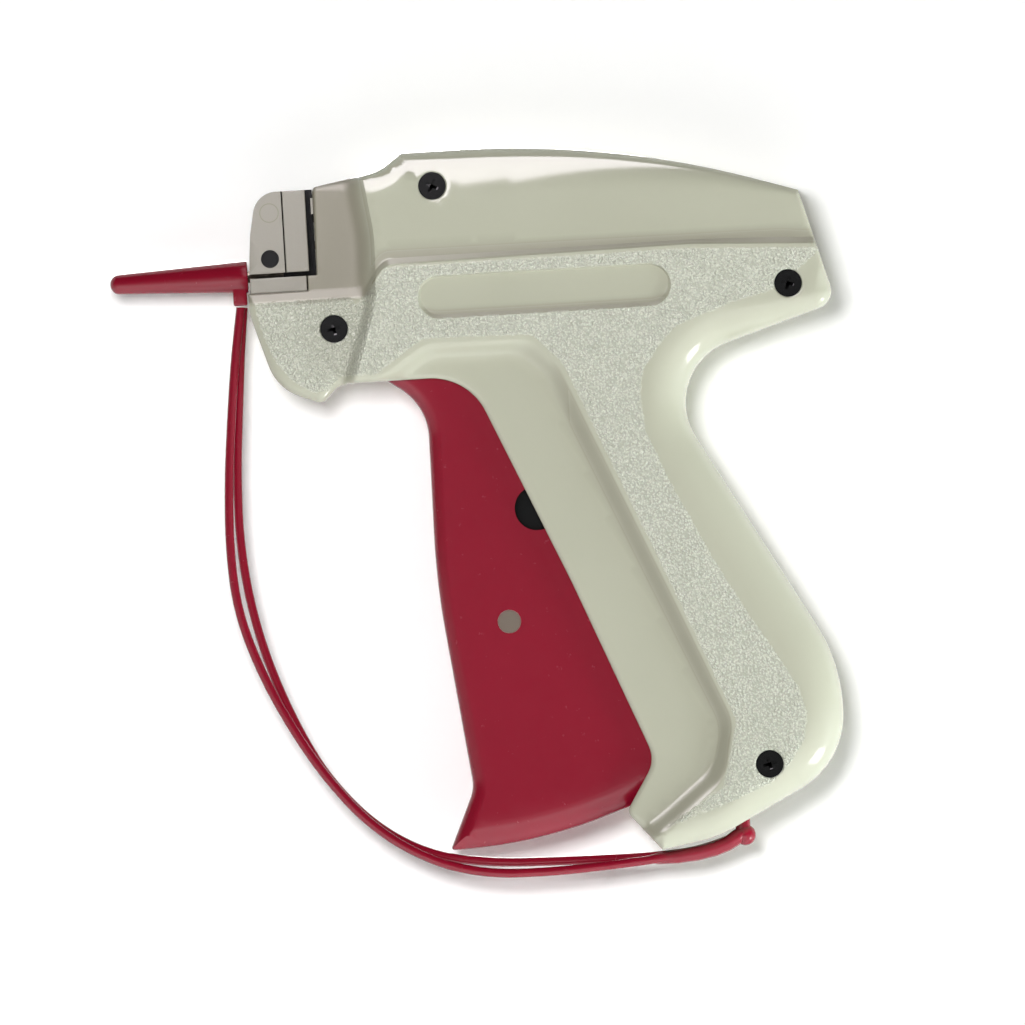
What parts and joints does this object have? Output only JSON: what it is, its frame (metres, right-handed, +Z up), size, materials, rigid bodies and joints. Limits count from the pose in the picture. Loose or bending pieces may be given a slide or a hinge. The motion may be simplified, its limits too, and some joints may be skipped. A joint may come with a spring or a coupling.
{
  "type": "garment tag attacher",
  "caption": "Hand-held pistol-grip gun with a long trigger that drives plastic tag fasteners through cloth by a hollow needle; red needle cap on a strap.",
  "frame": {"origin": "middle of the hand grip, in the middle plane between the two housing halves", "axes": "+X to the rear (the needle points along -X), +Y to the gun's right side, +Z up"},
  "size_m": [0.1439, 0.027, 0.1462],
  "materials": {
    "grip_plastic": "fine leather grain",
    "head_plastic": "smooth satin",
    "screw_black": "black oxide",
    "steel": "ground",
    "spring_steel": "blued",
    "black_plastic": "moulded",
    "buffer_rubber": "soft",
    "crimson_plastic": "polished moulding"
  },
  "bodies": {
    "housing": {"left_housing": "grip_plastic", "right_housing": "grip_plastic", "housing_screws": "screw_black", "head_frame": "head_plastic", "front_block": "head_plastic", "feed_guide": "head_plastic", "needle_clamp": "head_plastic", "knife_blade": "steel", "clip_brake": "spring_steel", "needle_holder": "steel", "needle": "steel", "feed_axle": "steel", "slide_buffer": "buffer_rubber", "lever_pin": "steel", "trigger_pin": "steel", "return_spring": "spring_steel", "strap_anchor": "crimson_plastic", "strap_strand_front": "crimson_plastic", "strap_strand_back": "crimson_plastic"},
    "trigger": {"trigger": "crimson_plastic", "link_pin": "steel"},
    "lever": {"drive_lever": "screw_black"},
    "slide": {"slide": "black_plastic", "slide_pin": "steel", "push_rod": "steel"},
    "feed_wheel": {"feed_wheel": "black_plastic"},
    "feed_rocker": {"feed_rocker": "black_plastic"},
    "feed_link": {"feed_link": "black_plastic"},
    "needle_lock": {"lock_shaft": "steel", "lock_knob": "black_plastic"},
    "needle_cap": {"needle_cap": "crimson_plastic"}
  },
  "joints": [
    {"name": "trigger_pull", "type": "hinge", "parent": "housing", "child": "trigger", "pos_m": [-0.04425, 0, 0.04771], "axis": [0, -1, 0], "range_deg": [0, 20], "stiffness_Nm_per_rad": 2, "springref_deg": -20.05},
    {"name": "lever_swing", "type": "hinge", "parent": "housing", "child": "lever", "pos_m": [-0.01283, 0, 0.02106], "axis": [0, -1, 0], "range_deg": [0, 32.41], "deforming": ["return_spring"]},
    {"name": "slide_travel", "type": "slide", "parent": "housing", "child": "slide", "axis": [-1, 0, 0], "range_m": [0, 0.033]},
    {"name": "rocker_swing", "type": "hinge", "parent": "housing", "child": "feed_rocker", "pos_m": [0, 0.0037, 0.067], "axis": [1, 0, 0], "range_deg": [0, 30.01]},
    {"name": "link_travel", "type": "slide", "parent": "housing", "child": "feed_link", "axis": [-1, 0, 0], "range_m": [0, 0.0035]},
    {"name": "wheel_turn", "type": "hinge", "parent": "housing", "child": "feed_wheel", "pos_m": [0, 0.0037, 0.067], "axis": [1, 0, 0], "continuous": true},
    {"name": "needle_lock_turn", "type": "hinge", "parent": "housing", "child": "needle_lock", "pos_m": [-0.0743, 0, 0.0647], "axis": [0, -1, 0], "range_deg": [0, 90]},
    {"name": "cap_pull", "type": "slide", "parent": "housing", "child": "needle_cap", "axis": [-1, 0, 0], "range_m": [0, 0.032], "deforming": ["strap_strand_front", "strap_strand_back"]}
  ],
  "couplings": [
    {"joint": "lever_swing", "follows": "trigger_pull", "ratio": 1.62},
    {"joint": "slide_travel", "follows": "trigger_pull", "m_per_rad": 0.094537},
    {"joint": "rocker_swing", "follows": "trigger_pull", "ratio": 1.5},
    {"joint": "link_travel", "follows": "trigger_pull", "m_per_rad": 0.010026}
  ]
}
